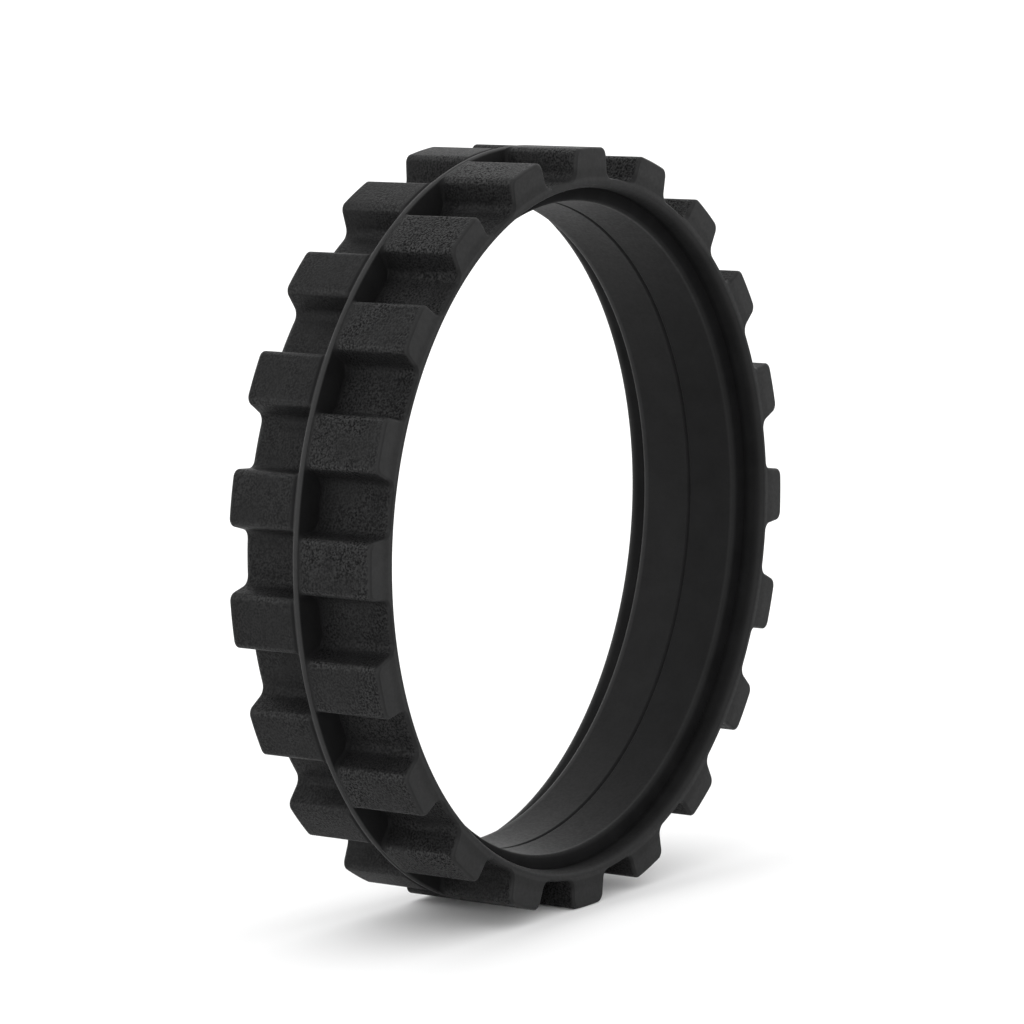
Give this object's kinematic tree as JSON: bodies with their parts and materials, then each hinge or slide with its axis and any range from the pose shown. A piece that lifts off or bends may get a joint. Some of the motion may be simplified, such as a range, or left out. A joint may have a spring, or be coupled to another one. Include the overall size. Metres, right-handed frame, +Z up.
{
  "type": "rubber tread ring",
  "caption": "Slip-on black rubber tread ring for a small drive wheel, with two staggered rows of block lugs, a thin centre rib and a raised inner seat.",
  "frame": {"origin": "centre of the ring, on its axis and midway between its two side faces", "axes": "+Y along the ring's axis towards the rear face, +Z up as the ring stands on its lugs, front face towards -Y"},
  "size_m": [0.072, 0.0156, 0.072],
  "materials": {
    "tread_rubber": "matte moulded rubber with a fine grain",
    "edge_rubber": "smooth matte moulded rubber",
    "seat_rubber": "smooth satin moulded rubber"
  },
  "bodies": {
    "root": {"tread_band": "tread_rubber", "centre_rib": "tread_rubber", "front_lip": "edge_rubber", "rear_lip": "edge_rubber", "front_seat": "seat_rubber", "rear_seat": "seat_rubber", "front_lug_01": "tread_rubber", "front_lug_02": "tread_rubber", "front_lug_03": "tread_rubber", "front_lug_04": "tread_rubber", "front_lug_05": "tread_rubber", "front_lug_06": "tread_rubber", "front_lug_07": "tread_rubber", "front_lug_08": "tread_rubber", "front_lug_09": "tread_rubber", "front_lug_10": "tread_rubber", "front_lug_11": "tread_rubber", "front_lug_12": "tread_rubber", "front_lug_13": "tread_rubber", "front_lug_14": "tread_rubber", "front_lug_15": "tread_rubber", "front_lug_16": "tread_rubber", "front_lug_17": "tread_rubber", "front_lug_18": "tread_rubber", "front_lug_19": "tread_rubber", "front_lug_20": "tread_rubber", "rear_lug_01": "tread_rubber", "rear_lug_02": "tread_rubber", "rear_lug_03": "tread_rubber", "rear_lug_04": "tread_rubber", "rear_lug_05": "tread_rubber", "rear_lug_06": "tread_rubber", "rear_lug_07": "tread_rubber", "rear_lug_08": "tread_rubber", "rear_lug_09": "tread_rubber", "rear_lug_10": "tread_rubber", "rear_lug_11": "tread_rubber", "rear_lug_12": "tread_rubber", "rear_lug_13": "tread_rubber", "rear_lug_14": "tread_rubber", "rear_lug_15": "tread_rubber", "rear_lug_16": "tread_rubber", "rear_lug_17": "tread_rubber", "rear_lug_18": "tread_rubber", "rear_lug_19": "tread_rubber", "rear_lug_20": "tread_rubber"}
  },
  "joints": []
}
